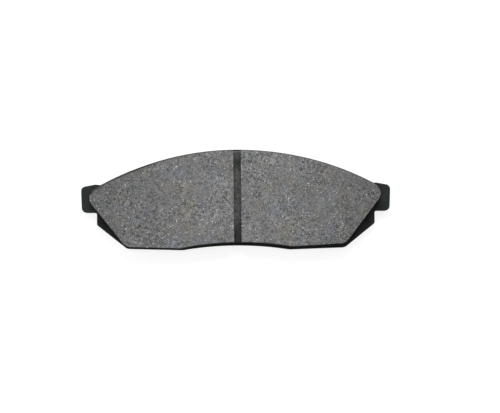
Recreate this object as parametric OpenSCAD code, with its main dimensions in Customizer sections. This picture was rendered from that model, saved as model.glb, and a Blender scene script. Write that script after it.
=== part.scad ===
// Disc brake pad: a steel backing plate with an ear at each end, a moulded friction
// lining sawn into two halves, and a bonded noise shim on the back.
// X runs along the pad, +Y points at the convex (outer) edge, +Z out of the friction face.
// The pad lies on its shim at Z = 0, with the box of the whole pad centred on X = Y = 0.

/* [Backing plate] */
// length of the plate over both ears, at the ears' top edge (mm)
overall_len = 146; // [120:1:170]
// steel thickness (mm)
plate_t = 6; // [4:0.1:8]
// radius of the convex edge (mm)
plate_arc_r = 130.6; // [110:0.1:160]
// highest point of the convex edge above the pad's middle (mm)
plate_apex_y = 23.63; // [18:0.01:30]
// radius of the concave edge (mm)
plate_hollow_r = 155; // [120:1:220]
// top of the concave edge at mid length (mm)
plate_hollow_y = -21.62; // [-28:0.01:-15]
// half length at the neck, inboard of the ear (mm)
neck_x = 65.45; // [50:0.05:75]
// height of the shoulder where the neck ends and the slanted side begins (mm)
shoulder_y = -11.53; // [-20:0.01:-8]
// half length of the lower edge, at its outer corner (mm)
foot_x = 51.3; // [35:0.1:65]
// height of the lower edge's outer corner (mm)
foot_y = -22.87; // [-30:0.01:-15]
// half distance between the two low points, where the concave edge ends (mm)
low_x = 25.2; // [10:0.1:45]

/* [Ears] */
// height of the ear's bottom edge (mm)
ear_bottom_y = -5.69; // [-12:0.01:0]
// height of the ear's top edge at its outer end (mm)
ear_top_y = 6.4; // [2:0.01:12]
// height of the ear's top edge at its root (mm)
ear_root_y = 7.65; // [3:0.01:14]
// half length at the ear's top root (mm)
ear_root_x = 66.2; // [55:0.1:75]
// how much the ear's end face leans inward over its height (mm)
ear_lean = 0.5; // [0:0.05:2]
// half length where the convex edge stops at the small relief beside the ear (mm)
relief_x = 60.4; // [50:0.1:72]
// depth of that relief below the convex edge's end (mm)
relief_depth = 1.65; // [0.1:0.05:2]

/* [Lining] */
// thickness of the friction lining above the underlayer (mm)
lining_t = 7.8; // [2:0.1:12]
// thickness of the underlayer (mm)
underlayer_t = 2; // [1:0.1:4]
// thickness of the bond film on the plate (mm)
bond_t = 0.2; // [0.05:0.05:0.5]
// radius of the lining's convex edge (mm)
lining_arc_r = 135; // [110:0.1:160]
// highest point of the lining's convex edge (mm)
lining_apex_y = 22.75; // [18:0.01:30]
// half length where the lining's convex edge stops (mm)
lining_arc_x = 62.6; // [50:0.1:70]
// half length of the unrounded upper end corner (mm)
lining_tip_x = 70.3; // [55:0.1:75]
// height of the unrounded upper end corner (mm)
lining_tip_y = 3; // [-4:0.1:8]
// half length of the unrounded lower end corner (mm)
lining_foot_x = 51.1; // [35:0.1:65]
// height of the unrounded lower end corner (mm)
lining_foot_y = -21.55; // [-30:0.05:-15]
// half distance between the low points of the lining (mm)
lining_low_x = 26.2; // [10:0.1:45]
// radius of the lining's concave edge (mm)
lining_hollow_r = 145; // [120:1:220]
// top of the lining's concave edge at mid length (mm)
lining_hollow_y = -20.2; // [-28:0.01:-15]
// width of the slot across the lining (mm)
slot_w = 3.45; // [2:0.05:6]
// distance of the slot from the plate's middle (mm)
slot_x = 0.95; // [-2:0.05:2]
// angle of the slot to the plate's middle line (degrees)
slot_skew = 0.2; // [-1:0.05:1]
// angle the moulded lining sits at on its plate (degrees)
lining_skew = 0.6; // [0:0.05:2]
// how far the moulded lining sits off the plate's middle (mm)
lining_shift = -0.2; // [-0.5:0.05:0.5]

/* [Keying and location] */
// diameter of the holes in the plate that the underlayer flows into (mm)
key_hole_d = 10; // [6:0.5:14]
// half distance between the inner pair of keying holes (mm)
key_inner_x = 17; // [10:0.5:30]
// half distance between the outer pair of keying holes (mm)
key_outer_x = 43; // [30:0.5:55]
// height of the inner pair (mm)
key_inner_y = 3; // [-10:0.5:15]
// height of the outer pair (mm)
key_outer_y = -2; // [-10:0.5:15]
// countersink at the plate's back face (mm)
key_sink = 0.8; // [0.2:0.1:2]
// diameter of the half-pierced pips that locate the shim (mm)
pip_d = 5; // [3:0.1:8]
// how far a pip stands out of the plate's back (mm)
pip_h = 0.6; // [0.3:0.05:0.75]
// half distance between the two end pips (mm)
pip_end_x = 55; // [40:0.5:60]
// height of the end pips (mm)
pip_end_y = 1; // [-8:0.5:8]
// height of the middle pip (mm)
pip_mid_y = 13; // [5:0.5:18]

/* [Shim] */
// thickness of the rubber on the shim's outside (mm)
rubber_t = 0.15; // [0.1:0.01:0.3]
// thickness of the shim's steel (mm)
core_t = 0.5; // [0.3:0.05:1]
// thickness of the adhesive that holds the shim (mm)
adhesive_t = 0.15; // [0.05:0.01:0.3]
// gap between the plate's edge and the shim's edge (mm)
shim_inset = 1.8; // [0.5:0.1:5]
// hole in the shim around each pip (mm)
shim_hole_d = 5.6; // [3.5:0.1:9]

/* [Hidden] */

steel_color = [0.10, 0.11, 0.105];
bond_color = [0.05, 0.05, 0.05];
underlayer_color = [0.16, 0.17, 0.165];
lining_color = [0.46, 0.46, 0.455];
adhesive_color = [0.30, 0.27, 0.20];
shim_steel_color = [0.55, 0.56, 0.57];
rubber_color = [0.06, 0.06, 0.065];

// corner radii of the plate (mm)
ear_top_r = 2.3;
ear_bottom_r = 2.2;
neck_r = 1;
relief_r = 0.7;
relief_run = 2.1;
shoulder_r = 1.2;
foot_r = 3.5;
low_r = 8;
// corner radii of the lining and of the shim (mm)
lining_tip_r = 5;
lining_foot_r = 4;
shim_r = 3;
// an arc stops this far short of a rounded corner, to leave room for the corner's radius (mm)
low_gap = 1;
shim_gap = 4;
// segments in a rounded corner and in a long edge arc
corner_steps = 7;
arc_steps = 44;
hollow_steps = 20;

half_len = overall_len / 2;
rubber_top = rubber_t;
core_top = rubber_top + core_t;
plate_back = core_top + adhesive_t;
plate_front = plate_back + plate_t;
bond_top = plate_front + bond_t;
underlayer_top = bond_top + underlayer_t;
shim_arc_r = plate_arc_r - shim_inset;
shim_apex_y = plate_apex_y - shim_inset;
shim_hollow_y = plate_hollow_y + shim_inset;
shim_x = neck_x - shim_inset;
shim_arc_x = shim_x - shim_gap;
lining_reach = 80;
key_points = [[-key_outer_x, key_outer_y], [-key_inner_x, key_inner_y],
              [key_inner_x, key_inner_y], [key_outer_x, key_outer_y]];
pip_points = [[-pip_end_x, pip_end_y], [0, pip_mid_y], [pip_end_x, pip_end_y]];

// ---------- outline functions ----------

function unit(v) = v / norm(v);

// height at x of an arc of radius r whose highest point is at apex
function arc_y(r, apex, x) = apex - r + sqrt(r * r - x * x);

// unrounded points along an arc from x0 to x1
function arc_run(r, apex, x0, x1, steps) =
    [for (i = [0:steps]) let (x = x0 + (x1 - x0) * i / steps) [x, arc_y(r, apex, x), 0]];

function mirrored(pts) = [for (i = [len(pts) - 1:-1:0]) [-pts[i][0], pts[i][1], pts[i][2]]];

// the points that round corner b, between its neighbours a and c, to radius r
function corner(a, b, c, r) = r == 0 ? [b] : let (
    to_a = unit(a - b),
    to_c = unit(c - b),
    half = acos(to_a * to_c) / 2,
    middle = b + unit(to_a + to_c) * r / sin(half),
    first = b + to_a * r / tan(half) - middle,
    last = b + to_c * r / tan(half) - middle,
    start = atan2(first[1], first[0]),
    turn = (atan2(last[1], last[0]) - start + 540) % 360 - 180)
    [for (i = [0:corner_steps]) middle + r * [cos(start + turn * i / corner_steps),
                                              sin(start + turn * i / corner_steps)]];

// outline through the corners [x, y, radius]
function rounded(pts) = [for (i = [0:len(pts) - 1]) let (
    a = pts[(i + len(pts) - 1) % len(pts)], b = pts[i], c = pts[(i + 1) % len(pts)])
    each corner([a[0], a[1]], [b[0], b[1]], [c[0], c[1]], b[2])];

// right-hand side of the plate, from the end of the convex edge round to the foot
plate_side = [
    [relief_x + relief_run, arc_y(plate_arc_r, plate_apex_y, relief_x) - relief_depth, relief_r],
    [ear_root_x, ear_root_y, relief_r],
    [half_len, ear_top_y, ear_top_r],
    [half_len - ear_lean, ear_bottom_y, ear_bottom_r],
    [neck_x, ear_bottom_y, neck_r],
    [neck_x, shoulder_y, shoulder_r],
    [foot_x, foot_y, foot_r],
    [low_x, arc_y(plate_hollow_r, plate_hollow_y, low_x), low_r]];

plate_outline = rounded(concat(
    arc_run(plate_arc_r, plate_apex_y, -relief_x, relief_x, arc_steps),
    plate_side,
    arc_run(plate_hollow_r, plate_hollow_y, low_x - low_gap, low_gap - low_x, hollow_steps),
    mirrored(plate_side)));

lining_side = [
    [lining_tip_x, lining_tip_y, lining_tip_r],
    [lining_foot_x, lining_foot_y, lining_foot_r],
    [lining_low_x, arc_y(lining_hollow_r, lining_hollow_y, lining_low_x), low_r]];

lining_outline = rounded(concat(
    arc_run(lining_arc_r, lining_apex_y, -lining_arc_x, lining_arc_x, arc_steps),
    lining_side,
    arc_run(lining_hollow_r, lining_hollow_y,
            lining_low_x - low_gap, low_gap - lining_low_x, hollow_steps),
    mirrored(lining_side)));

shim_side = [
    [shim_x, arc_y(shim_arc_r, shim_apex_y, shim_x), shim_r],
    [shim_x, shoulder_y + shim_inset / 2, shim_r],
    [foot_x - shim_inset / 2, foot_y + shim_inset, shim_r],
    [low_x, arc_y(plate_hollow_r, shim_hollow_y, low_x), low_r]];

shim_outline = rounded(concat(
    arc_run(shim_arc_r, shim_apex_y, -shim_arc_x, shim_arc_x, arc_steps),
    shim_side,
    arc_run(plate_hollow_r, shim_hollow_y, low_x - low_gap, low_gap - low_x, hollow_steps),
    mirrored(shim_side)));

// ---------- shared shapes ----------

// a flat layer of one outline between two heights
module layer(outline, z0, z1) {
    translate([0, 0, z0])
        linear_extrude(height = z1 - z0)
            polygon(outline);
}

module lining_layer(z0, z1) {
    translate([lining_shift, 0, 0])
        rotate([0, 0, lining_skew])
            layer(lining_outline, z0, z1);
}

module posts(points, d, z0, z1) {
    for (p = points)
        translate([p[0], p[1], z0])
            cylinder(h = z1 - z0, d = d, $fn = 64);
}

// the flared mouths of the keying holes, at the plate's back face
module countersinks() {
    for (p = key_points)
        translate([p[0], p[1], plate_back])
            cylinder(h = key_sink, d1 = key_hole_d + 2 * key_sink, d2 = key_hole_d, $fn = 64);
}

// the half of the lining on one side of the slot (side is -1 or 1)
module lining_half(side) {
    intersection() {
        lining_layer(underlayer_top, underlayer_top + lining_t);
        translate([slot_x, 0, underlayer_top + lining_t / 2])
            rotate([0, 0, slot_skew])
                translate([side * (slot_w + lining_reach) / 2, 0, 0])
                    cube([lining_reach, lining_reach, 2 * lining_t], center = true);
    }
}

// one layer of the shim, open around the pips
module shim_layer(z0, z1) {
    difference() {
        layer(shim_outline, z0, z1);
        posts(pip_points, shim_hole_d, z0 - 1, z1 + 1);
    }
}

// ---------- nodes ----------

module backing_plate() {
    color(steel_color)
        difference() {
            union() {
                layer(plate_outline, plate_back, plate_front);
                posts(pip_points, pip_d, plate_back - pip_h, plate_back + pip_h);
            }
            posts(key_points, key_hole_d, plate_back - 1, plate_front + 1);
            countersinks();
            posts(pip_points, pip_d, plate_front - pip_h, plate_front + 1);
        }
}

module bond_film() {
    color(bond_color)
        difference() {
            lining_layer(plate_front, bond_top);
            posts(key_points, key_hole_d, plate_front - 1, bond_top + 1);
            posts(pip_points, pip_d, plate_front - 1, bond_top + 1);
        }
}

module underlayer() {
    color(underlayer_color)
        union() {
            lining_layer(bond_top, underlayer_top);
            posts(key_points, key_hole_d, plate_back, bond_top + underlayer_t / 2);
            countersinks();
            posts(pip_points, pip_d, plate_front - pip_h, bond_top + underlayer_t / 2);
        }
}

module lining_left() {
    color(lining_color)
        lining_half(-1);
}

module lining_right() {
    color(lining_color)
        lining_half(1);
}

module shim_adhesive() {
    color(adhesive_color)
        shim_layer(core_top, plate_back);
}

module shim_core() {
    color(shim_steel_color)
        shim_layer(rubber_top, core_top);
}

module shim_rubber() {
    color(rubber_color)
        shim_layer(0, rubber_top);
}

backing_plate();
bond_film();
underlayer();
lining_left();
lining_right();
shim_adhesive();
shim_core();
shim_rubber();
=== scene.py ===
"""Looks of a disc brake pad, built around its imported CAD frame.

Every piece is a closed mesh made from the outline of the CAD node that it stands for. Lengths are in
millimetres unless a comment says metres, and colours are linear.
"""

import math

import bpy
import numpy as np
from mathutils import Matrix, Vector
from mathutils.geometry import delaunay_2d_cdt
from mathutils.kdtree import KDTree


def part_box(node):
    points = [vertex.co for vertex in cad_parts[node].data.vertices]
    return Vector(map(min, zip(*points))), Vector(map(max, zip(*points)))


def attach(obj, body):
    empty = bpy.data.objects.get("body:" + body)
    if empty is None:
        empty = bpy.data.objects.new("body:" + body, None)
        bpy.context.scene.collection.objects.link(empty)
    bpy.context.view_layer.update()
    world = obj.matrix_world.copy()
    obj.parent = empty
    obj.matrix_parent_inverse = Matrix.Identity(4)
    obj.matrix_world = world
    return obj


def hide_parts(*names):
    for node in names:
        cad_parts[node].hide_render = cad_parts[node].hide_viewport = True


# one millimetre in Blender's metres
MM = 0.001

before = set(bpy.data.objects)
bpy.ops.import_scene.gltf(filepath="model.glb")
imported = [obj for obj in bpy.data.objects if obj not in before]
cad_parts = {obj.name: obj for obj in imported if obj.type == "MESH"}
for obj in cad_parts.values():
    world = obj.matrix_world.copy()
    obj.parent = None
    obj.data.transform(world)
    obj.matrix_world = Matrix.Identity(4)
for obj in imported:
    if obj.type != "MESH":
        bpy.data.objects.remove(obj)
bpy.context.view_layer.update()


# ---- heights of the layers, from the CAD frame ----


def span(node):
    """Lowest and highest Z of a CAD node."""
    low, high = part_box(node)
    return low.z / MM, high.z / MM


RUBBER_Z = span("shim_rubber")
CORE_Z = span("shim_core")
ADHESIVE_Z = span("shim_adhesive")
PLATE_BACK = ADHESIVE_Z[1]
PIP_FOOT, PLATE_FRONT = span("backing_plate")
PIP_DEPTH = PLATE_BACK - PIP_FOOT
BOND_Z = span("bond_film")
UNDERLAYER_TOP = span("underlayer")[1]
LINING_TOP = span("lining_left")[1]


# ---- noise for the meshes ----

# large factors and shifts that scatter lattice coordinates over 32 bits
AXIS_FACTORS = (374761393, 668265263, 2147483647)
SEED_FACTOR = 1274126177
STIRS = ((13, 1274126177), (16, 2246822519))
LAST_SHIFT = 15
LOW_32 = 0xFFFFFFFF
LOW_24 = 0xFFFFFF
# keeps lattice coordinates positive, in cells
LATTICE_SHIFT = 1000.0


def smooth(x):
    """A smooth step from 0 at x = 0 to 1 at x = 1."""
    x = np.clip(x, 0, 1)
    return x * x * (3 - 2 * x)


def hash01(corners, seed):
    """A repeatable random number from 0 to 1 for each lattice corner (N x 3)."""
    h = np.uint64(seed * SEED_FACTOR)
    for values, factor in zip(corners.T, AXIS_FACTORS):
        h = h + values.astype(np.uint64) * np.uint64(factor)
    h &= np.uint64(LOW_32)
    for shift, factor in STIRS:
        h = ((h ^ (h >> np.uint64(shift))) * np.uint64(factor)) & np.uint64(LOW_32)
    return ((h ^ (h >> np.uint64(LAST_SHIFT))) & np.uint64(LOW_24)) / float(LOW_24)


def noise(points, cell, seed):
    """Smooth noise from -1 to 1 at the points (N x 3), with features about one cell wide."""
    place = np.asarray(points, float) / cell + LATTICE_SHIFT
    base = np.floor(place).astype(np.int64)
    t = smooth(place - base)
    total = np.zeros(len(place))
    for step in np.ndindex(2, 2, 2):
        weight = np.prod(np.where(step, t, 1 - t), axis=1)
        total += weight * hash01(base + step, seed)
    return 2 * total - 1


def squeezed(points, x=1.0, y=1.0, z=1.0):
    """The points with each axis times its factor. A small one draws noise out along that axis."""
    return points * np.array([x, y, z])


def above(value, threshold, width):
    """0 where a value is below the threshold, rising to 1 over the width."""
    return smooth((value - threshold) / width)


# ---- outlines ----

# points this close to a height count as lying on it
SAME_HEIGHT = 0.003
# points that agree to this many decimals are at one place
PLACE_DECIMALS = 3


def with_z(xy, z):
    """The points xy (N x 2) with a Z column."""
    return np.column_stack([xy, np.broadcast_to(z, len(xy))])


def area(loop):
    """Area of a loop, positive when it runs anticlockwise."""
    x, y = loop[:, 0], loop[:, 1]
    return 0.5 * float(np.sum(x * np.roll(y, -1) - np.roll(x, -1) * y))


def rim_edges(faces):
    """The directed edges that only one of the faces has, in the order in which they are met."""
    once = {}
    for face in faces:
        for a, b in zip(face, face[1:] + face[:1]):
            if (b, a) in once:
                del once[(b, a)]
            elif a != b:
                once[(a, b)] = True
    return list(once)


def outlines(node, z):
    """The closed outlines of a CAD node's flat face at height z, each anticlockwise, largest first."""
    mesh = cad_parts[node].data
    mesh.calc_loop_triangles()
    points = np.array([v.co[:] for v in mesh.vertices]) / MM
    flat = np.abs(points[:, 2] - z) < SAME_HEIGHT
    keys = [tuple(p) for p in np.round(points[:, :2], PLACE_DECIMALS).tolist()]
    first = {}
    for i, key in enumerate(keys):
        first.setdefault(key, i)
    triangles = [list(t.vertices) for t in mesh.loop_triangles]
    faces = [[first[keys[i]] for i in t] for t in triangles if all(flat[i] for i in t)]
    following = dict(rim_edges(faces))
    loops = []
    while following:
        at = next(iter(following))
        loop = []
        while at in following:
            loop.append(points[at, :2])
            at = following.pop(at)
        loops.append(np.array(loop))
    loops = [loop if area(loop) > 0 else loop[::-1] for loop in loops]
    return sorted(loops, key=lambda loop: -abs(area(loop)))


def resample(loop, step, soften=0.0):
    """The loop with points one step apart. Its corners are rounded off over the length soften."""
    closed = np.vstack([loop, loop[:1]])
    lengths = np.r_[0, np.cumsum(np.linalg.norm(np.diff(closed, axis=0), axis=1))]
    count = int(round(lengths[-1] / step))
    at = np.linspace(0, lengths[-1], count, endpoint=False)
    out = np.column_stack([np.interp(at, lengths, closed[:, k]) for k in (0, 1)])
    if soften:
        sigma = soften / step
        reach = int(3 * sigma) + 1
        kernel = np.exp(-0.5 * (np.arange(-reach, reach + 1) / sigma) ** 2)
        kernel /= kernel.sum()
        out = sum(share * np.roll(out, k - reach, axis=0) for k, share in enumerate(kernel))
    return out


def inward(loop):
    """Unit normals of an anticlockwise loop that point into it."""
    along = np.roll(loop, -2, axis=0) - np.roll(loop, 2, axis=0)
    along /= np.linalg.norm(along, axis=1)[:, None]
    return np.column_stack([-along[:, 1], along[:, 0]])


def inside(points, loop):
    """Which of the points lie inside the loop."""
    hit = np.zeros(len(points), bool)
    x, y = points[:, 0], points[:, 1]
    for (x0, y0), (x1, y1) in zip(loop, np.roll(loop, -1, axis=0)):
        if y0 != y1:
            crosses = (y0 > y) != (y1 > y)
            hit ^= crosses & (x < (x1 - x0) * (y - y0) / (y1 - y0) + x0)
    return hit


def search_tree(points):
    """A search tree over the X and Y of the points."""
    tree = KDTree(len(points))
    for k, (x, y) in enumerate(points[:, :2]):
        tree.insert((x, y, 0), k)
    tree.balance()
    return tree


def nearest(points, loop):
    """For each point, the index of the loop's nearest point and how far away it is."""
    tree = search_tree(loop)
    found = [tree.find((x, y, 0)) for x, y in points[:, :2]]
    return np.array([k for _, k, _ in found]), np.array([distance for _, _, distance in found])


def circle(centre, radius, count=48):
    """Points of an anticlockwise circle."""
    angle = np.linspace(0, 2 * math.pi, count, endpoint=False)
    return np.column_stack([centre[0] + radius * np.cos(angle), centre[1] + radius * np.sin(angle)])


# ---- solids made of rings of points ----

# where the first grid line of a cap lies, and how far its points stay from the outline, both in grid steps
GRID_START = 0.31
GRID_CLEARANCE = 0.6
# points this close together are one point to the triangulation
JOIN_WITHIN = 1e-6


class Solid:
    """Collects rings, the walls between them and the caps that close them."""

    def __init__(self):
        self.verts = np.zeros((0, 3))
        self.quads = []
        self.triangles = []

    def add(self, points):
        """Adds points and returns their indices."""
        first = len(self.verts)
        self.verts = np.vstack([self.verts, points])
        return np.arange(first, len(self.verts))

    def ring(self, xy, z):
        """Adds the points xy at height z, one for all or one each, and returns their indices."""
        return self.add(with_z(xy, z))

    def wall(self, low, high, flip=False):
        """Faces between two rings, facing out of the rings, or into them when flipped."""
        faces = np.column_stack([low, np.roll(low, -1), np.roll(high, -1), high])
        self.quads.append(faces[:, ::-1] if flip else faces)

    def walls(self, rings, flip=False):
        for low, high in zip(rings, rings[1:]):
            self.wall(low, high, flip)

    def tube(self, centre, profile, flip=False):
        """Round walls up a profile of (radius, height). Returns its rings."""
        rings = [self.ring(circle(centre, radius), z) for radius, z in profile]
        self.walls(rings, flip)
        return rings

    def disc(self, ring, up):
        """Closes a round ring with a fan from its middle."""
        middle = self.add(self.verts[ring].mean(axis=0)[None])[0]
        fan = np.column_stack([ring, np.roll(ring, -1), np.full(len(ring), middle)])
        self.triangles.append(fan if up else fan[:, ::-1])

    def cap(self, outer, holes=(), up=True, step=2.0):
        """Fills the outer ring, apart from the holes, with a square grid and a band of triangles round it.
        Returns the indices of the grid's points."""
        loops = [self.verts[ring][:, :2] for ring in (outer, *holes)]
        z = float(self.verts[outer][:, 2].mean())
        low, high = loops[0].min(axis=0), loops[0].max(axis=0)
        nx, ny = (np.ceil((high - low) / step).astype(int) + 1).tolist()
        gx, gy = np.meshgrid(np.arange(nx), np.arange(ny), indexing="ij")
        grid = low + step * (np.column_stack([gx.ravel(), gy.ravel()]) + GRID_START)
        keep = inside(grid, loops[0])
        for hole in loops[1:]:
            keep &= ~inside(grid, hole)
        close = nearest(grid[keep], np.vstack(loops))[1] < GRID_CLEARANCE * step
        keep[np.nonzero(keep)[0][close]] = False
        kept = keep.reshape(nx, ny)
        cell = kept[:-1, :-1] & kept[1:, :-1] & kept[1:, 1:] & kept[:-1, 1:]
        used = np.zeros_like(kept)
        for dx, dy in np.ndindex(2, 2):
            used[dx : nx - 1 + dx, dy : ny - 1 + dy] |= cell
        number = np.full(kept.shape, -1)
        number[used] = self.add(with_z(grid.reshape(nx, ny, 2)[used], z))
        i, j = np.nonzero(cell)
        faces = np.column_stack([number[i, j], number[i + 1, j], number[i + 1, j + 1], number[i, j + 1]])
        self.quads.append(faces if up else faces[:, ::-1])
        self.band((outer, *holes), faces, cell, low + GRID_START * step, step, up)
        return number[used]

    def band(self, rings, faces, cell, origin, step, up):
        """Triangles between the rings, of which the first is the outer one, and the grid's stepped edge."""
        ids = []
        edges = []
        parts = []
        for ring in rings:
            start, count = len(ids), len(ring)
            edges += [(start + k, start + (k + 1) % count) for k in range(count)]
            parts.append(slice(start, start + count))
            ids += ring.tolist()
        place = {}
        for edge in rim_edges(faces.tolist()):
            for i in edge:
                if i not in place:
                    place[i] = len(ids)
                    ids.append(i)
            edges.append((place[edge[0]], place[edge[1]]))
        # the triangulation works in single precision, so the tests below use the same rounded points
        flat = self.verts[ids][:, :2].astype(np.float32).astype(float)
        found = delaunay_2d_cdt([Vector(p) for p in flat.tolist()], edges, [], 0, JOIN_WITHIN)
        source = [s[0] if s else -1 for s in found[3]]
        made = [[source[i] for i in face] for face in found[2]]
        made = np.array([face for face in made if min(face) >= 0])
        middle = flat[made].mean(axis=1)
        keep = inside(middle, flat[parts[0]])
        for part in parts[1:]:
            keep &= ~inside(middle, flat[part])
        # the grid's own cells have their faces already
        square = np.floor((middle - origin) / step).astype(int)
        within = np.all((square >= 0) & (square < np.array(cell.shape)), axis=1)
        square = np.clip(square, 0, np.array(cell.shape) - 1)
        keep &= ~(within & cell[square[:, 0], square[:, 1]])
        made = made[keep]
        a, b, c = (flat[made[:, k]] for k in (0, 1, 2))
        turn = (b[:, 0] - a[:, 0]) * (c[:, 1] - a[:, 1]) - (b[:, 1] - a[:, 1]) * (c[:, 0] - a[:, 0])
        wrong = (turn > 0) != up
        made[wrong] = made[wrong][:, ::-1]
        self.triangles.append(np.array(ids)[made])

    def surface(self, name, material):
        """A linked object made of the faces collected so far."""
        mesh = bpy.data.meshes.new(name)
        faces = [face for group in self.quads + self.triangles for face in group.tolist()]
        mesh.from_pydata((self.verts * MM).tolist(), [], faces)
        mesh.polygons.foreach_set("use_smooth", [True] * len(mesh.polygons))
        mesh.materials.append(material)
        mesh.update()
        obj = bpy.data.objects.new(name, mesh)
        bpy.context.scene.collection.objects.link(obj)
        return obj

    def piece(self, name, material, nodes, values=None):
        """The finished piece, riding on the pad and standing for its CAD nodes. values holds one number per
        point for each name that the material reads."""
        obj = self.surface(name, material)
        for key, value in (values or {}).items():
            layer = obj.data.attributes.new(key, "FLOAT", "POINT")
            layer.data.foreach_set("value", np.asarray(value, np.float32))
        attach(obj, "root")
        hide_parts(*nodes)
        return obj


# ---- tools for the materials ----

# places of the factor and the two colours among the inputs of a colour Mix node, and of its colour output
MIX_FACTOR, MIX_A, MIX_B, MIX_COLOUR = 0, 6, 7, 2
# how ragged a cell's border is: how many bends to a cell's width, and how far they push it, in cell widths
RAGGED_BENDS = 1.7
RAGGED_PUSH = 0.7
# a spot's least radius as a share of the radius asked for, and the width of its soft edge in cells
SPOT_LEAST = 0.4
SPOT_EDGE = 0.12

NO_OFFSET = (0.0, 0.0, 0.0)
NO_STRETCH = (1.0, 1.0, 1.0)


class Shade:
    """A material whose nodes work in the object's own coordinates. Offsets are in metres."""

    def __init__(self, name):
        self.mat = bpy.data.materials.new(name)
        self.mat.use_nodes = True
        self.tree = self.mat.node_tree
        self.bsdf = self.tree.nodes["Principled BSDF"]
        self.place = self.node("ShaderNodeTexCoord").outputs["Object"]

    def node(self, kind, inputs=None, **settings):
        """A new node with its settings, and its inputs given by name or place."""
        made = self.tree.nodes.new(kind)
        for key, value in settings.items():
            setattr(made, key, value)
        for key, value in (inputs or {}).items():
            self.feed(made.inputs[key], value)
        return made

    def feed(self, socket, value):
        """Links a socket to an output, or sets it to a plain value."""
        if isinstance(value, bpy.types.NodeSocket):
            self.tree.links.new(value, socket)
        elif isinstance(value, tuple):
            socket.default_value = (*value, 1.0) if len(socket.default_value) == 4 else value
        else:
            socket.default_value = value

    def math(self, operation, a, b=0.0, c=0.0, clamp=False):
        inputs = dict(enumerate((a, b, c)))
        return self.node("ShaderNodeMath", inputs, operation=operation, use_clamp=clamp).outputs[0]

    def spread(self, value, low, high, to_low=0.0, to_high=1.0):
        """Maps low..high onto to_low..to_high, smoothly and without going past."""
        inputs = dict(enumerate((value, low, high, to_low, to_high)))
        return self.node("ShaderNodeMapRange", inputs, interpolation_type="SMOOTHSTEP").outputs[0]

    def vary(self, value, amount):
        """A multiplier around 1 that follows a value from 0 to 1."""
        return self.math("MULTIPLY_ADD", value, amount, 1 - amount / 2)

    def product(self, *values):
        total = values[0]
        for value in values[1:]:
            total = self.math("MULTIPLY", total, value)
        return total

    def moved(self, offset, stretch=NO_STRETCH, turn=0.0):
        """Coordinates in which features come out longer by stretch, along axes turned about Z."""
        inputs = {"Vector": self.place, "Location": offset, "Rotation": (0.0, 0.0, turn), "Scale": stretch}
        return self.node("ShaderNodeMapping", inputs, vector_type="TEXTURE").outputs[0]

    def noise(self, size, detail=2.0, rough=0.5, offset=NO_OFFSET, stretch=NO_STRETCH, turn=0.0):
        """Noise from 0 to 1 whose features are about size millimetres wide."""
        place = self.moved(offset, stretch, turn)
        inputs = {"Vector": place, "Scale": 1 / (size * MM), "Detail": detail, "Roughness": rough}
        return self.node("ShaderNodeTexNoise", inputs).outputs["Fac"]

    def cells(self, size, offset=NO_OFFSET, stretch=NO_STRETCH, turn=0.0):
        """Ragged cells: the distance to the nearest centre, in cell widths, and two random numbers that
        belong to that cell."""
        place = self.moved(offset, stretch, turn)
        bends = self.node("ShaderNodeTexNoise", {"Vector": place, "Scale": RAGGED_BENDS / (size * MM)})
        inputs = {0: bends.outputs["Color"], 1: (RAGGED_PUSH * size * MM,) * 3, 2: place}
        ragged = self.node("ShaderNodeVectorMath", inputs, operation="MULTIPLY_ADD").outputs[0]
        made = self.node("ShaderNodeTexVoronoi", {"Vector": ragged, "Scale": 1 / (size * MM)})
        parts = self.node("ShaderNodeSeparateColor", {0: made.outputs["Color"]})
        return made.outputs["Distance"], parts.outputs[0], parts.outputs[1]

    def spots(self, size, share, radius, offset=NO_OFFSET, stretch=NO_STRETCH, turn=0.0):
        """A mask of scattered spots: share of the cells have one, of about radius cell widths."""
        distance, first, second = self.cells(size, offset, stretch, turn)
        chosen = self.math("LESS_THAN", first, share)
        reach = self.math("MULTIPLY_ADD", second, radius, radius * SPOT_LEAST)
        edge = self.math("SUBTRACT", reach, distance)
        return self.math("MULTIPLY", self.spread(edge, 0.0, SPOT_EDGE), chosen)

    def blend(self, factor, a, b, mode="MIX"):
        """Mixes colours a and b; factor 0 gives a."""
        inputs = {MIX_FACTOR: factor, MIX_A: a, MIX_B: b}
        made = self.node("ShaderNodeMix", inputs, data_type="RGBA", blend_type=mode)
        return made.outputs[MIX_COLOUR]

    def cover(self, under, colour, mask, strength):
        """Lays a colour over the one under it where the mask is, at a strength from 0 to 1."""
        return self.blend(self.math("MULTIPLY", mask, strength), under, colour)

    def tint(self, under, cast, size, offset, low, high, strength=0.6):
        """Multiplies a colour by a cast in broad patches, where a noise rises from low to high."""
        patches = self.noise(size, detail=1.0, offset=offset)
        return self.blend(self.spread(patches, low, high, 0.0, strength), under, cast, "MULTIPLY")

    def grey(self, value):
        """A grey colour from a number."""
        return self.node("ShaderNodeCombineColor", dict.fromkeys(range(3), value)).outputs[0]

    def attribute(self, name):
        """A value that the mesh holds for each of its points."""
        return self.node("ShaderNodeAttribute", attribute_name=name).outputs["Fac"]

    def bump(self, height, distance, strength=1.0):
        """Relief from a height from 0 to 1, as deep as the distance."""
        inputs = {"Strength": strength, "Distance": distance * MM, "Height": height}
        self.feed(self.bsdf.inputs["Normal"], self.node("ShaderNodeBump", inputs).outputs[0])

    def finish(self, colour, roughness, metallic=0.0, specular=0.5):
        """The material, with its surface set."""
        self.feed(self.bsdf.inputs["Base Color"], colour)
        self.feed(self.bsdf.inputs["Roughness"], roughness)
        self.feed(self.bsdf.inputs["Metallic"], metallic)
        self.feed(self.bsdf.inputs["Specular IOR Level"], specular)
        return self.mat


# ---- materials ----

WHITE = (1.0, 1.0, 1.0)
# mean greys of the ground face, of the block's moulded sides and of the underlayer
FACE_GREY = 0.124
SIDE_GREY = 0.05
UNDERLAYER_GREY = 0.100
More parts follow.
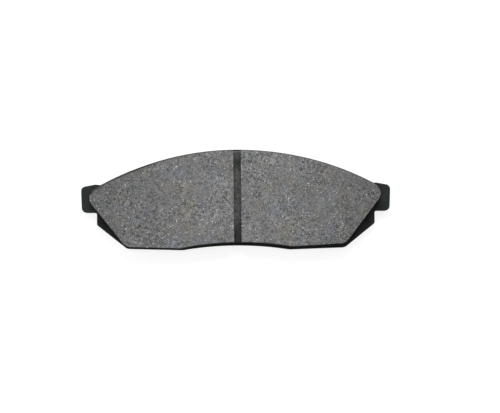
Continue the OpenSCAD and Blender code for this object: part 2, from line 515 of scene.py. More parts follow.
# casts that multiply a grey
WARM_CAST = (1.10, 1.03, 0.88)
COOL_CAST = (0.92, 0.99, 1.12)
GREEN_CAST = (0.96, 1.03, 1.0)
BROWN_CAST = (1.06, 0.96, 0.88)
# pale, dark and rusty grains of the lining: size, share, radius, offset, strength, colour
GRAINS = (
    (0.9, 0.27, 0.26, (0.05, 0.02, 0.0), 0.85, (0.42, 0.42, 0.41)),
    (1.0, 0.14, 0.20, (0.71, 0.33, 0.0), 0.6, (0.05, 0.05, 0.05)),
    (1.6, 0.05, 0.2, (0.37, 0.83, 0.0), 0.6, (0.16, 0.10, 0.065)),
)
METAL_FLECK = (0.62, 0.62, 0.60)
# painted shade at the bottom of the pits
PIT_SHADE = (0.035, 0.035, 0.035)
SAW_STREAK = (0.15, 0.155, 0.15)
UNDERLAYER_FLECK = (0.24, 0.24, 0.23)
# black paint: as mist on the block, darker beside the block as painted shade and plain elsewhere, and what
# lies on it
MIST = (0.009, 0.011, 0.010)
SHADED_PAINT = ((0.0045, 0.0060, 0.0055), (0.0085, 0.0105, 0.0095))
UNSHADED_PAINT = ((0.010, 0.0135, 0.012), (0.018, 0.0225, 0.020))
PAINT_DUST = (0.10, 0.105, 0.10)
PAINT_WORN = (0.085, 0.085, 0.083)
PAINT_SCUFF = (0.06, 0.062, 0.06)
# the layers that show only at their edges or from below, each as the two colours that it lies between, and
# the rubber where it is rubbed
BOND_RANGE = ((0.009, 0.009, 0.008), (0.024, 0.022, 0.018))
RUBBER_RANGE = ((0.016, 0.016, 0.017), (0.032, 0.032, 0.033))
RUBBER_RUBBED = (0.075, 0.075, 0.075)
STEEL_RANGE = ((0.26, 0.26, 0.27), (0.42, 0.42, 0.43))
GLUE_RANGE = ((0.10, 0.085, 0.05), (0.045, 0.042, 0.035))

# painted shade: the ground face darkens to this share between these distances from the pad's middle, as
# light falloff towards the ends
FACE_SHADE_FROM = 15
FACE_SHADE_END = 68
FACE_SHADE_TO = 0.74
# offset and direction (radians) of the three sets of metal fibres in the lining
FIBRE_SETS = (((0.13, 0.61, 0.0), 0.4), ((0.77, 0.21, 0.0), 1.9), ((0.42, 0.09, 0.0), 2.8))
# brightness of the studio paper
PAPER_GLOW = 0.78
PAPER_GREYS = (0.28, 0.30)


def ground_grey(s, grain, small):
    """Grey of the ground face: grains of two sizes, livelier in some patches, and darker towards the ends
    as painted light falloff.
    """
    _, large, _ = s.cells(1.0, offset=(0.05, 0.47, 0.0))
    patch = s.noise(4.0, offset=(0.3, 0.1, 0.0))
    wide = s.noise(13.0, detail=1.0, offset=(0.1, 0.7, 0.2))
    lively = s.spread(s.noise(11.0, detail=1.0, offset=(0.6, 0.3, 0.0)), 0.35, 0.65, 0.65, 1.15)
    # painted shade: the face darkens towards both ends, standing in for the light's falloff
    aside = s.math("ABSOLUTE", s.node("ShaderNodeSeparateXYZ", {0: s.place}).outputs[0])
    fade = s.spread(aside, FACE_SHADE_FROM * MM, FACE_SHADE_END * MM, 1.0, FACE_SHADE_TO)
    mix = s.math("ADD", s.math("MULTIPLY", small, 1.05), s.math("MULTIPLY", large, 0.45))
    mix = s.math("MULTIPLY_ADD", s.math("SUBTRACT", mix, 0.75), lively, 1.0)
    tone = s.product(mix, s.vary(grain, 1.5), s.vary(patch, 0.5), s.vary(wide, 0.35), fade)
    return s.grey(s.math("MULTIPLY", tone, FACE_GREY))


def metal_mask(s):
    """Where metal shows on the ground face: small flecks, and short fibres that lie in three directions."""
    metal = s.spots(1.7, share=0.26, radius=0.15, offset=(0.5, 0.4, 0.0))
    for offset, turn in FIBRE_SETS:
        fibres = s.spots(1.5, share=0.05, radius=0.08, offset=offset, stretch=(3.2, 1.0, 1.0), turn=turn)
        metal = s.math("MAXIMUM", metal, fibres)
    return metal


def friction_material():
    """Friction composite: a ground face of small grains with pale, dark, rusty and metal ones, darker
    moulded sides, and painted shade in the pits and towards the ends. The mesh says where the sides, the
    pits and the paint are."""
    s = Shade("friction_composite")
    grain = s.noise(0.4, detail=3.0, rough=0.65)
    _, small, small_too = s.cells(0.48, offset=(0.31, 0.12, 0.0))
    colour = ground_grey(s, grain, small)
    colour = s.tint(colour, WARM_CAST, 9.0, (0.9, 0.2, 0.0), 0.45, 0.75)
    colour = s.tint(colour, COOL_CAST, 8.0, (0.2, 0.8, 0.0), 0.45, 0.75)
    for size, share, radius, offset, strength, speck in GRAINS:
        colour = s.cover(colour, speck, s.spots(size, share, radius, offset), strength)
    metal = metal_mask(s)
    colour = s.blend(metal, colour, METAL_FLECK)
    # painted shade: the deeper a pit, the darker it is painted
    pit = s.math("MULTIPLY", s.attribute("pit"), 0.85, clamp=True)
    colour = s.blend(pit, colour, PIT_SHADE)
    side = s.attribute("side")
    skin = s.noise(0.5, detail=3.0, rough=0.65, offset=(0.4, 0.0, 0.3))
    side_tone = s.math("MULTIPLY", s.product(s.vary(skin, 1.6), s.vary(small_too, 0.6)), SIDE_GREY)
    colour = s.blend(side, colour, s.grey(side_tone))
    overspray = s.attribute("overspray")
    colour = s.blend(overspray, colour, MIST)
    height = s.math("ADD", s.math("MULTIPLY", grain, 0.8), s.math("MULTIPLY", small, 0.35))
    s.bump(height, 0.08, 0.9)
    bare = s.math("SUBTRACT", 1.0, s.math("MAXIMUM", side, overspray), clamp=True)
    shine = s.product(metal, bare, 0.7)
    roughness = s.math("SUBTRACT", s.spread(grain, 0.3, 0.7, 0.94, 0.8), s.math("MULTIPLY", shine, 0.6))
    specular = s.math("MULTIPLY_ADD", bare, 0.17, 0.08)
    return s.finish(colour, roughness, metallic=shine, specular=specular)


def underlayer_material():
    """Dark fibrous underlayer, seen at the floor of the slot and in a line above the plate."""
    s = Shade("underlayer_composite")
    grain = s.noise(0.7, detail=3.0, rough=0.65, offset=(0.2, 0.4, 0.1))
    _, lump, _ = s.cells(0.9, offset=(0.4, 0.1, 0.0))
    patch = s.noise(5.0, offset=(0.8, 0.1, 0.0))
    tone = s.product(s.vary(grain, 1.7), s.vary(lump, 0.7), s.vary(patch, 0.45))
    colour = s.blend(1.0, s.grey(s.math("MULTIPLY", tone, UNDERLAYER_GREY)), GREEN_CAST, "MULTIPLY")
    colour = s.tint(colour, BROWN_CAST, 9.0, (0.4, 0.25, 0.0), 0.48, 0.62)
    streak = s.noise(0.4, offset=(0.1, 0.1, 0.0), stretch=(1.0, 14.0, 1.0))
    colour = s.blend(s.spread(streak, 0.5, 0.8, 0.0, 0.3), colour, SAW_STREAK)
    fleck = s.spots(1.1, share=0.2, radius=0.18, offset=(0.6, 0.2, 0.0))
    colour = s.cover(colour, UNDERLAYER_FLECK, fleck, 0.7)
    colour = s.blend(s.attribute("overspray"), colour, MIST)
    s.bump(s.math("ADD", grain, s.math("MULTIPLY", streak, 0.5)), 0.08, 0.8)
    return s.finish(colour, 0.92, specular=0.12)


def coating_material():
    """Matt black paint on steel: fine orange peel, dust, scuffs, and thin grey wear along the edges. Beside
    the block it is darker and less worn, as painted shade cast by the block."""
    s = Shade("matt_black_paint")
    peel = s.noise(0.9)
    fine = s.noise(0.3, rough=0.6, offset=(0.2, 0.0, 0.5))
    cloud = s.spread(s.noise(6.0, detail=3.0, rough=0.6, offset=(0.6, 0.1, 0.0)), 0.3, 0.75)
    # painted shade: darker paint beside the block
    in_shade = s.blend(cloud, *SHADED_PAINT)
    unshaded = s.blend(cloud, *UNSHADED_PAINT)
    colour = s.blend(s.attribute("unshaded"), in_shade, unshaded)
    dust = s.spots(1.3, share=0.12, radius=0.10, offset=(0.3, 0.3, 0.1))
    colour = s.cover(colour, PAINT_DUST, dust, 0.3)
    worn = s.spread(s.noise(0.9, detail=3.0, rough=0.65, offset=(0.9, 0.5, 0.0)), 0.45, 0.62)
    colour = s.blend(s.product(s.attribute("wear"), worn, 0.5), colour, PAINT_WORN)
    scuff = s.noise(0.5, rough=0.6, offset=(0.5, 0.9, 0.0), stretch=(9.0, 1.0, 1.0), turn=0.5)
    colour = s.blend(s.spread(scuff, 0.66, 0.8, 0.0, 0.25), colour, PAINT_SCUFF)
    blanked = s.noise(0.35, offset=(0.1, 0.4, 0.0), stretch=(1.0, 1.0, 14.0))
    height = s.math("ADD", peel, s.math("MULTIPLY", s.math("ADD", fine, blanked), 0.35))
    s.bump(height, 0.06, 0.7)
    return s.finish(colour, s.spread(fine, 0.3, 0.7, 0.62, 0.78), specular=0.15)


def bond_material():
    """Cured adhesive: nearly black, a little glossy, lumpy."""
    s = Shade("bond_adhesive")
    lump = s.noise(0.8, rough=0.6)
    s.bump(lump, 0.08, 0.7)
    return s.finish(s.blend(s.spread(lump, 0.3, 0.7), *BOND_RANGE), 0.5, specular=0.35)


def rubber_material():
    """Thin nitrile coat on the shim: dull black with a fine calendered grain and faint handling marks."""
    s = Shade("shim_nitrile")
    grain = s.noise(0.45, detail=3.0, rough=0.65)
    cloud = s.noise(16.0, detail=3.0, rough=0.6, offset=(0.2, 0.9, 0.0))
    rub = s.noise(2.0, detail=3.0, rough=0.7, offset=(0.1, 0.3, 0.0), stretch=(8.0, 1.0, 1.0))
    colour = s.blend(s.spread(cloud, 0.3, 0.7), *RUBBER_RANGE)
    colour = s.blend(s.spread(rub, 0.62, 0.8, 0.0, 0.35), colour, RUBBER_RUBBED)
    s.bump(grain, 0.04, 0.7)
    return s.finish(colour, s.spread(rub, 0.4, 0.8, 0.72, 0.55), specular=0.35)


def shim_steel_material():
    """Cut edge of the shim's sheet steel, with fine lines across its thickness."""
    s = Shade("shim_steel_edge")
    lines = s.noise(0.25, stretch=(1.0, 1.0, 10.0))
    colour = s.blend(s.spread(lines, 0.3, 0.7), *STEEL_RANGE)
    s.bump(lines, 0.02, 0.5)
    return s.finish(colour, s.spread(lines, 0.3, 0.7, 0.35, 0.5), metallic=1.0)


def adhesive_material():
    """The shim's adhesive, a thin yellowish line with dust on it."""
    s = Shade("shim_glue")
    dust = s.noise(0.7, detail=3.0, rough=0.6)
    s.bump(dust, 0.03, 0.6)
    return s.finish(s.blend(s.spread(dust, 0.35, 0.7), *GLUE_RANGE), 0.55, specular=0.4)


def paper_material():
    """White studio paper with the faintest unevenness, which glows a little so that it shows no shade."""
    s = Shade("studio_paper")
    s.feed(s.bsdf.inputs["Emission Color"], WHITE)
    s.feed(s.bsdf.inputs["Emission Strength"], PAPER_GLOW)
    return s.finish(s.grey(s.spread(s.noise(60.0), 0.3, 0.7, *PAPER_GREYS)), 0.9, specular=0.1)


FRICTION = friction_material()
UNDERLAYER = underlayer_material()
COATING = coating_material()
BOND = bond_material()
RUBBER = rubber_material()
SHIM_STEEL = shim_steel_material()
GLUE = adhesive_material()


# ---- what the pieces share ----


def round_holes(node, z):
    """(centre, radius) of each round hole in a CAD node's flat face at height z."""
    return [(hole.mean(axis=0), math.sqrt(abs(area(hole)) / math.pi)) for hole in outlines(node, z)[1:]]


# holes with a larger radius than this are keying holes, and smaller ones are at the pips
PIP_RADIUS_MAX = 4
# depth of the flare of a keying hole at the plate's back, as in the CAD
KEY_SINK = 0.8

BOND_HOLES = round_holes("bond_film", BOND_Z[1])
KEYS = [hole for hole in BOND_HOLES if hole[1] > PIP_RADIUS_MAX]
PIPS = [hole for hole in BOND_HOLES if hole[1] < PIP_RADIUS_MAX]
SHIM_HOLE_R = round_holes("shim_core", CORE_Z[1])[0][1]
PLATE_LOOP = outlines("backing_plate", PLATE_FRONT)[0]
BLOCK_LOOP = outlines("underlayer", UNDERLAYER_TOP)[0]
LEFT_EDGE = outlines("lining_left", LINING_TOP)[0][:, 0].max()
RIGHT_EDGE = outlines("lining_right", LINING_TOP)[0][:, 0].min()
SLOT_MIDDLE = (LEFT_EDGE + RIGHT_EDGE) / 2

# mesh size of flat faces that show no relief
PLAIN_STEP = 3.0
# over what length the block's corners are softened
BLOCK_SOFTEN = 0.16
# how high the overspray reaches above the plate, how much that varies, and how softly it ends
SPRAY_HEIGHT = 2.3
SPRAY_VARIES = 0.9
SPRAY_FADE = 1.5


def key_profile(radius, top):
    """(radius, height) up a keying hole, or the peg in it, which is flared at the plate's back."""
    return (radius + KEY_SINK, PLATE_BACK), (radius, PLATE_BACK + KEY_SINK), (radius, top)


def recess_profile(radius, top):
    """(radius, height) up the recess in front of a pip, or the peg in it."""
    return (radius, PLATE_FRONT - PIP_DEPTH), (radius, top)


def moulded_inset(p):
    """How far the moulded side of the block lies inside its outline, at the points p."""
    small = 0.028 * noise(p, 0.7, 11)
    broad = 0.02 * noise(p, 2.6, 12)
    pores = 0.11 * above(noise(p, 0.55, 13), 0.52, 0.3)
    return np.clip(0.03 + small + broad + pores, 0.0, None)


def sawn_inset(p):
    """The same for a wall of the slot, with the saw's lines along it."""
    lines = 0.014 * noise(squeezed(p, y=0.06), 0.22, 21)
    small = 0.02 * noise(p, 0.6, 22)
    pores = 0.10 * above(noise(p, 0.5, 23), 0.55, 0.3)
    return np.clip(0.02 + lines + small + pores, 0.0, None)


def overspray_at(p):
    """Share of black overspray on the block's side: full near the plate, none higher up."""
    reach = PLATE_FRONT + SPRAY_HEIGHT + SPRAY_VARIES * noise(squeezed(p, z=0.3), 5.0, 31)
    return smooth((reach - p[:, 2]) / SPRAY_FADE + 0.25 * noise(p, 0.5, 32))


# ---- friction lining ----

# distance between points along the outline, on the ground face and underneath
LINING_STEP = 0.24
FACE_STEP = 0.25
LINING_BASE_STEP = 4.0
LINING_RINGS = 26
# a wall of the slot is what lies this close to it in X and faces it this squarely
SLOT_WALL_DEPTH = 1.0
SLOT_WALL_FACING = 0.7
# mean depth of the ground face below its plane, and its relief as (feature size, height)
FACE_DEPTH = 0.045
FACE_RELIEF = ((0.55, 0.022), (1.1, 0.014), (5.0, 0.008))
# pits in the ground face: how many to a square millimetre, their radii and depths
PIT_DENSITY = 0.22
PIT_RADII = (0.2, 0.5)
PIT_DEPTHS = (0.05, 0.28)
# the paint on the convex edge grows stronger from this X towards the left end, over this length
PAINT_FROM_X = -20.0
PAINT_OVER = 25.0


def face_relief(p, seed):
    """Depth of the ground friction face below its plane."""
    relief = sum(height * noise(p, size, seed + 7 * i) for i, (size, height) in enumerate(FACE_RELIEF))
    return np.clip(FACE_DEPTH + relief, 0.0, None)


def add_pits(solid, ids, seed):
    """Sinks random pits into the points ids, and returns how deep in a pit each point of the solid is, for
    the painted shade in the pits.
    """
    rng = np.random.default_rng(seed)
    xy = solid.verts[ids][:, :2]
    low, high = xy.min(axis=0), xy.max(axis=0)
    count = int(PIT_DENSITY * np.prod(high - low))
    spots = rng.uniform(low, high, (count, 2))
    sizes = rng.uniform(*PIT_RADII, count) * rng.uniform(0.6, 1.0, count)
    deeps = rng.uniform(*PIT_DEPTHS, count)
    tree = search_tree(xy)
    pit = np.zeros(len(solid.verts))
    for (x, y), radius, deep in zip(spots, sizes, deeps):
        for _, k, distance in tree.find_range((x, y, 0), radius):
            share = smooth(1.15 * (1 - distance / radius))
            i = ids[k]
            solid.verts[i, 2] -= deep * share
            pit[i] = max(pit[i], share * min(1.0, deep / PIT_DEPTHS[1] + 0.3))
    return pit


def paint_reach(points, loop, painted, reach):
    """Share of thin paint at the points of the face. It is as strong as painted at the block's edge and
    fades over the length reach. Both are given for each point of the loop."""
    near, away = nearest(points, loop)
    return 0.95 * np.clip(painted[near], 0, 1) * smooth(1.25 * (1 - away / reach[near]))


def lining_half(name, node, slot_is_right, seed):
    """One half of the friction lining: ground face, crumbled edges, moulded sides and a sawn wall."""
    loop = resample(outlines(node, LINING_TOP)[0], LINING_STEP, soften=BLOCK_SOFTEN)
    into = inward(loop)
    slot_x = loop[:, 0].max() if slot_is_right else loop[:, 0].min()
    facing = -into[:, 0] if slot_is_right else into[:, 0]
    by_slot = np.abs(loop[:, 0] - slot_x) < SLOT_WALL_DEPTH
    sawn = above(facing, SLOT_WALL_FACING, 0.25) * by_slot

    def inset(z):
        p = with_z(loop, z)
        return (1 - sawn) * moulded_inset(p) + sawn * sawn_inset(p)

    # shares at each point of the outline, and the width of the face's crumbled edge
    top = with_z(loop, LINING_TOP)
    convex = above(-into[:, 1], 0.2, 0.3) * (1 - sawn)
    left_end = smooth((PAINT_FROM_X - loop[:, 0]) / PAINT_OVER)
    painted = convex * (0.35 + 0.55 * left_end) * (0.85 + 0.4 * noise(top, 9.0, seed + 5))
    chips = above(noise(top, 1.2, seed + 1), 0.25, 0.4) * (0.15 + 0.2 * sawn)
    edge = 0.09 + 0.12 * convex + 0.12 * painted + 0.035 * noise(top, 0.6, seed + 2) + chips

    solid = Solid()
    rings = []
    for share in np.linspace(0, 1, LINING_RINGS):
        z = UNDERLAYER_TOP + share * (LINING_TOP - edge - UNDERLAYER_TOP)
        rings.append(solid.ring(loop + into * inset(z)[:, None], z))
    last = inset(LINING_TOP - edge)
    crumble = np.abs(0.25 * edge * noise(top, 0.4, seed + 3))
    crumbled = loop + into * (last + 0.34 * edge)[:, None]
    rings.append(solid.ring(crumbled, LINING_TOP - 0.36 * edge - crumble))
    rings.append(solid.ring(loop + into * (last + edge)[:, None], LINING_TOP))
    solid.walls(rings)
    face = np.concatenate([rings[-1], solid.cap(rings[-1], step=FACE_STEP)])
    solid.cap(rings[0], up=False, step=LINING_BASE_STEP)
    solid.verts[face, 2] -= face_relief(with_z(solid.verts[face][:, :2], 0), seed)
    pit = add_pits(solid, face, seed)

    side = np.zeros(len(solid.verts))
    spray = np.zeros(len(solid.verts))
    for ring in rings[:-2]:
        side[ring] = 1 - sawn
        spray[ring] = overspray_at(solid.verts[ring]) * (1 - sawn)
    side[rings[-2]] = 0.8 * (1 - sawn)
    side[rings[-1]] = 0.5 * convex
    speckle = 1 + 0.25 * noise(top, 0.7, seed + 4)
    for ring in rings[-3:-1]:
        spray[ring] = np.maximum(spray[ring], np.clip(painted * speckle, 0, 1))
    spray[face] = paint_reach(solid.verts[face], loop, painted, 0.5 + 0.95 * left_end)
    values = {"pit": pit, "side": side, "overspray": spray}
    return solid.piece(name, FRICTION, [node], values)


# ---- underlayer ----

UNDERLAYER_STEP = 0.3
UNDERLAYER_RINGS = 9
FLOOR_STEP = 0.4
# half width in X of what has saw marks on the slot's floor
MARKS_HALF = 1.75
# mist at the slot's low and high end: how strong, how far from the end it stops or starts, and its fade
MIST_LOW = (0.7, 13.0, 11.0)
MIST_HIGH = (0.42, 11.0, 5.0)
# half width of the painted rim at the slot's low end, and its share of paint
PAINTED_HALF = 2.5
PAINTED_RIM = 0.9


def pegs(solid):
    """Adds the pegs that fill the keying holes and the pips' recesses. Returns the rings at their roots."""
    roots = []
    for holes, profile in ((KEYS, key_profile), (PIPS, recess_profile)):
        for centre, radius in holes:
            peg = solid.tube(centre, profile(radius, BOND_Z[1]))
            solid.disc(peg[0], up=False)
            roots.append(peg[-1])
    return roots


def underlayer_piece():
    """The dark layer under the lining: moulded sides, saw marks and mist on the slot's floor, pegs."""
    loop = resample(BLOCK_LOOP, UNDERLAYER_STEP, soften=BLOCK_SOFTEN)
    into = inward(loop)
    solid = Solid()
    rings = []
    for z in np.linspace(BOND_Z[1], UNDERLAYER_TOP, UNDERLAYER_RINGS):
        rings.append(solid.ring(loop + into * moulded_inset(with_z(loop, z))[:, None], z))
    solid.walls(rings)
    solid.cap(rings[0], pegs(solid), up=False, step=PLAIN_STEP)
    floor = solid.cap(rings[-1], step=FLOOR_STEP)
    in_slot = floor[np.abs(solid.verts[floor][:, 0] - SLOT_MIDDLE) < MARKS_HALF]
    flat = with_z(solid.verts[in_slot][:, :2], 0)
    marks = 0.05 + 0.02 * noise(squeezed(flat, y=0.08), 0.45, 41) + 0.025 * noise(flat, 0.9, 42)
    solid.verts[in_slot, 2] -= np.clip(marks, 0, None)

    spray = np.zeros(len(solid.verts))
    for ring in rings[:-1]:
        spray[ring] = overspray_at(solid.verts[ring])
    p = solid.verts[floor]
    low_end, high_end = flat[:, 1].min(), flat[:, 1].max()
    amount, stop, fade = MIST_LOW
    mist = amount * smooth((low_end + stop - p[:, 1]) / fade)
    amount, start, fade = MIST_HIGH
    mist += amount * smooth((p[:, 1] - high_end + start) / fade)
    mist += 0.12 * noise(p, 2.5, 43)
    spray[floor] = np.clip(mist, 0, 1)
    rim = rings[-1]
    x, y = solid.verts[rim][:, 0], solid.verts[rim][:, 1]
    spray[rim[(np.abs(x - SLOT_MIDDLE) < PAINTED_HALF) & (y < 0)]] = PAINTED_RIM
    return solid.piece("underlayer_block", UNDERLAYER, ["underlayer"], {"overspray": spray})


# ---- bond film ----

BOND_STEP = 0.35
BOND_SOFTEN = 0.3
# the bead reaches out by this much on average and at least, and it needs this much plate beside it
BEAD_REACH = 0.16
BEAD_LEAST = 0.02
BEAD_ROOM = 0.7
# the bead's side as (share of its reach, share of the film's height)
BEAD_PROFILE = ((0.85, 0.0), (1.0, 0.3), (0.7, 0.7), (0.1, 1.0))


def bond_piece():
    """The adhesive film, squeezed out in an uneven bead where the plate has room for it."""
    loop = resample(outlines("bond_film", BOND_Z[1])[0], BOND_STEP, soften=BOND_SOFTEN)
    out = -inward(loop)
    flat = with_z(loop, 0)
    bead = BEAD_REACH + 0.12 * noise(flat, 1.8, 51) + 0.06 * noise(flat, 0.6, 52)
    bead = np.clip(bead, BEAD_LEAST, None) * inside(loop + out * BEAD_ROOM, PLATE_LOOP)
    low, high = BOND_Z
    solid = Solid()
    rings = []
    for reach, share in BEAD_PROFILE:
        rings.append(solid.ring(loop + out * (reach * bead)[:, None], low + share * (high - low)))
    solid.walls(rings)
    bottoms, tops = [], []
    for centre, radius in BOND_HOLES:
        hole = solid.tube(centre, ((radius, low), (radius, high)), flip=True)
        bottoms.append(hole[0])
        tops.append(hole[-1])
    solid.cap(rings[0], bottoms, up=False, step=PLAIN_STEP)
    solid.cap(rings[-1], tops, step=PLAIN_STEP)
    return solid.piece("bond_film_bead", BOND, ["bond_film"])


# ---- backing plate ----

PLATE_STEP = 0.4
PLATE_SOFTEN = 0.12
PLATE_FACE_STEP = 0.9
PLATE_BACK_STEP = 1.8
# (inset, height) of the back edge above the plate's back, and of the rolled edge at its front
BACK_EDGE = ((0.2, 0.0), (0.09, 0.03), (0.03, 0.09), (0.01, 0.2))
FRONT_ROLL = ((0.0, -0.5), (0.03, -0.34), (0.1, -0.19), (0.22, -0.08), (0.37, -0.015), (0.5, 0.0))
# the straight part of the side starts this far above the back and ends this far below the front
SIDE_FROM = 0.45
SIDE_TO = 0.85
SIDE_RINGS = 17
# the torn band ends at about this share of the plate's thickness
TORN_SHARE = 0.36
# a pip's outer end as (inset, height above its foot)
PIP_END = ((0.25, 0.0), (0.07, 0.05), (0.0, 0.2))
# wear of the paint at a ring of the side, counted up from the back or, if negative, down from the front
EDGE_WEAR = {-5: 0.3, -4: 0.8, -3: 1.0, -2: 0.6, 0: 0.5, 1: 1.0, 2: 0.7}
# painted shade on the paint beside the block reaches this far off it, and fades out over this length
PAINTED_SHADE_REACH = 1.2
PAINTED_SHADE_FADE = 0.8
# share of the edge wear that is left in the painted shade beside the block
SHADED_WEAR = 0.35


def blanked_inset(p, d, z):
    """How far the plate's side lies inside its outline at the points p: the profile's inset d at height z,
    the band torn by blanking, and fine lines."""
    mean_top = PLATE_BACK + TORN_SHARE * (PLATE_FRONT - PLATE_BACK)
    torn_top = mean_top + 0.35 * noise(squeezed(p, z=0.0), 3.0, 61)
    torn = smooth((torn_top - z) / 0.4) * smooth((z - PLATE_BACK) / 0.3)
    tear = torn * (0.05 + 0.045 * noise(p, 0.6, 62) + 0.025 * noise(p, 1.7, 63))
    lines = 0.008 * noise(squeezed(p, z=0.08), 0.35, 64)
    return np.clip(d + tear + lines, 0, None)


def plate_holes(solid):
    """Adds the keying holes, and the pips with their recesses. Returns the rings of all of them at the
    plate's front and at its back."""
    fronts, backs = [], []
    for centre, radius in KEYS:
        hole = solid.tube(centre, key_profile(radius, PLATE_FRONT), flip=True)
        backs.append(hole[0])
        fronts.append(hole[-1])
    for centre, radius in PIPS:
        recess = solid.tube(centre, recess_profile(radius, PLATE_FRONT), flip=True)
        solid.disc(recess[0], up=True)
        fronts.append(recess[-1])
        end = [(radius - d, PIP_FOOT + z) for d, z in PIP_END]
        pip = solid.tube(centre, [*end, (radius, PLATE_BACK)])
        solid.disc(pip[0], up=False)
        backs.append(pip[-1])
    return fronts, backs


def plate_piece():
    """The blanked steel plate: rolled edge at the front, torn band near the back, holes, pips, recesses."""
    loop = resample(PLATE_LOOP, PLATE_STEP, soften=PLATE_SOFTEN)
    into = inward(loop)
    profile = [(d, PLATE_BACK + z) for d, z in BACK_EDGE]
    profile += [(0.0, z) for z in np.linspace(PLATE_BACK + SIDE_FROM, PLATE_FRONT - SIDE_TO, SIDE_RINGS)]
    profile += [(d, PLATE_FRONT + z) for d, z in FRONT_ROLL]
    solid = Solid()
    rings = []
    for d, z in profile:
        inset = blanked_inset(with_z(loop, z), d, z)
        rings.append(solid.ring(loop + into * inset[:, None], z))
    solid.walls(rings)
    fronts, backs = plate_holes(solid)
    solid.cap(rings[-1], fronts, step=PLATE_FACE_STEP)
    solid.cap(rings[0], backs, up=False, step=PLATE_BACK_STEP)
    # painted shade: the paint darkens, and wears less, near the block's foot
    _, away = nearest(solid.verts, resample(BLOCK_LOOP, 1.0))
    unshaded = smooth((away - PAINTED_SHADE_REACH) / PAINTED_SHADE_FADE)
    wear = np.zeros(len(solid.verts))
    for k, amount in EDGE_WEAR.items():
        wear[rings[k]] = amount
    wear *= SHADED_WEAR + (1 - SHADED_WEAR) * unshaded
    values = {"wear": wear, "unshaded": unshaded}
    return solid.piece("backing_plate_steel", COATING, ["backing_plate"], values)


# ---- shim ----

SHIM_STEP = 0.4
SHIM_SOFTEN = 0.2
# mesh size of the rubber's outside, which is seen
RUBBER_STEP = 0.9
# up the side of each layer: (share of its thickness, inset)
GLUE_EDGE = ((0, 0.1), (0.5, 0.16), (1, 0.08))
STEEL_EDGE = ((0, 0.04), (0.2, 0), (0.8, 0), (1, 0.05))
RUBBER_EDGE = ((0, 0.09), (0.35, 0.03), (1, 0.02))
# a layer's side counts as this tall in the noise, so that it changes from edge to edge
SHIM_NOISE_HEIGHT = 3.0


def shim_layer(name, node, heights, material, slot, edge, step):
    """One layer of the shim, open around the pips. step is the mesh size of its underside."""
    low, high = heights
    loop = resample(outlines(node, high)[0], SHIM_STEP, soften=SHIM_SOFTEN)
    into = inward(loop)
    solid = Solid()
    rings = []
    for share, d in edge:
        p = with_z(loop, SHIM_NOISE_HEIGHT * share)
        inset = np.clip(d + 0.012 * noise(p, 0.5, 71) + 0.01 * noise(p, 2.2, 72), 0, None)
        rings.append(solid.ring(loop + into * inset[:, None], low + share * (high - low)))
    solid.walls(rings)
    bottoms, tops = [], []
    for centre, _ in PIPS:
        profile = [(SHIM_HOLE_R + d, low + share * (high - low)) for share, d in edge]
        hole = solid.tube(centre, profile, flip=True)
        bottoms.append(hole[0])
        tops.append(hole[-1])
    solid.cap(rings[0], bottoms, up=False, step=step)
    solid.cap(rings[-1], tops, step=PLAIN_STEP)
    return solid.piece(name, material, [node])


SHIM_LAYERS = (
    ("shim_glue_layer", "shim_adhesive", ADHESIVE_Z, GLUE, "shim_adhesive", GLUE_EDGE, PLAIN_STEP),
    ("shim_steel_sheet", "shim_core", CORE_Z, SHIM_STEEL, "shim_steel", STEEL_EDGE, PLAIN_STEP),
    ("shim_rubber_skin", "shim_rubber", RUBBER_Z, RUBBER, "shim_rubber", RUBBER_EDGE, RUBBER_STEP),
)


# ---- floor, lights and camera ----

# in metres
PAD_MIDDLE = Vector((0.0, 0.0, 9.0)) * MM

# the paper is flat out to this radius and then sweeps up by this much
PAPER_REACH = 3000.0
PAPER_SWEEP = 1000.0
PAPER_RINGS = 12
PAPER_SEGMENTS = 96
# gap between the paper and the pad
PAPER_GAP = 0.02

# each light: name, direction, distance and side of its square (metres), power (watts)
LIGHTS = (
    ("key", (0.03, 0.62, 1.0), 0.6, 0.26, 2.6),
    ("side", (-1.0, 0.25, 1.1), 0.9, 0.4, 1.6),
)
WORLD_STRENGTH = 0.7

# how far the camera is tipped and rolled, and its distance from the pad
CAMERA_TILT = math.radians(2.45)
CAMERA_ROLL = math.radians(0.43)
CAMERA_DISTANCE = 700.0
# the width that it sees at the pad, and how far it is moved to the picture's right and top
VIEW_WIDTH = 234.9
VIEW_RIGHT = 6.765
VIEW_UP = -3.359
SENSOR_WIDTH = 36.0
# in metres
CLIP_START = 0.05
CLIP_END = 20.0


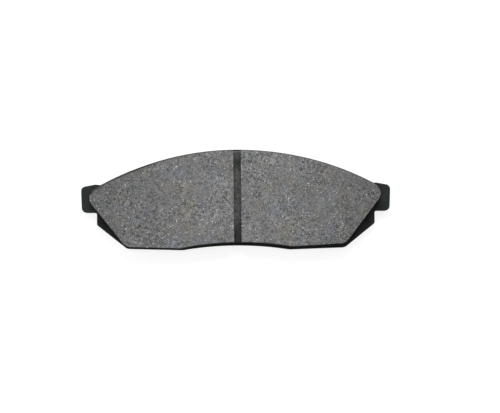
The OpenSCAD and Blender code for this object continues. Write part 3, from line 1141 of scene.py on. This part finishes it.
def studio_paper():
    """White paper, flat under the pad and swept up all round far away, so that it also fills a low view."""
    sheet = Solid()
    rings = []
    for turn in np.linspace(0, math.pi / 2, PAPER_RINGS):
        loop = circle((0.0, 0.0), PAPER_REACH + PAPER_SWEEP * math.sin(turn), PAPER_SEGMENTS)
        rings.append(sheet.ring(loop, PAPER_SWEEP * (1 - math.cos(turn)) - PAPER_GAP))
    sheet.walls(rings, flip=True)
    sheet.disc(rings[0], up=True)
    sheet.surface("studio_paper", paper_material())


def area_light(name, direction, distance, size, power):
    """A soft square light that looks at the pad from a direction."""
    data = bpy.data.lights.new(name, "AREA")
    data.shape = "SQUARE"
    data.size = size
    data.energy = power
    light = bpy.data.objects.new(name, data)
    away = Vector(direction).normalized()
    light.location = PAD_MIDDLE + away * distance
    light.rotation_euler = away.to_track_quat("Z", "Y").to_euler()
    bpy.context.scene.collection.objects.link(light)


def white_world():
    """Even white light from all round."""
    world = bpy.data.worlds.new("studio")
    world.use_nodes = True
    background = world.node_tree.nodes["Background"]
    background.inputs["Color"].default_value = (*WHITE, 1.0)
    background.inputs["Strength"].default_value = WORLD_STRENGTH
    bpy.context.scene.world = world


def photo_camera():
    """Nearly overhead, tipped and rolled a little, with the pad up and left of the picture's middle."""
    data = bpy.data.cameras.new("photo_camera")
    data.sensor_fit = "HORIZONTAL"
    data.sensor_width = SENSOR_WIDTH
    data.lens = SENSOR_WIDTH * CAMERA_DISTANCE / VIEW_WIDTH
    data.clip_start, data.clip_end = CLIP_START, CLIP_END
    camera = bpy.data.objects.new("photo_camera", data)
    turn = Matrix.Rotation(CAMERA_TILT, 4, "X") @ Matrix.Rotation(-CAMERA_ROLL, 4, "Z")
    shift = Vector((VIEW_RIGHT, VIEW_UP, CAMERA_DISTANCE)) * MM
    camera.matrix_world = Matrix.Translation(PAD_MIDDLE) @ turn @ Matrix.Translation(shift)
    bpy.context.scene.collection.objects.link(camera)
    bpy.context.scene.camera = camera


# ---- the scene ----

lining_half("friction_left", "lining_left", slot_is_right=True, seed=101)
lining_half("friction_right", "lining_right", slot_is_right=False, seed=202)
underlayer_piece()
bond_piece()
plate_piece()
for layer in SHIM_LAYERS:
    shim_layer(*layer)

studio_paper()
for light in LIGHTS:
    area_light(*light)
white_world()
bpy.context.scene.view_settings.view_transform = "Standard"
bpy.context.scene.view_settings.look = "None"
photo_camera()
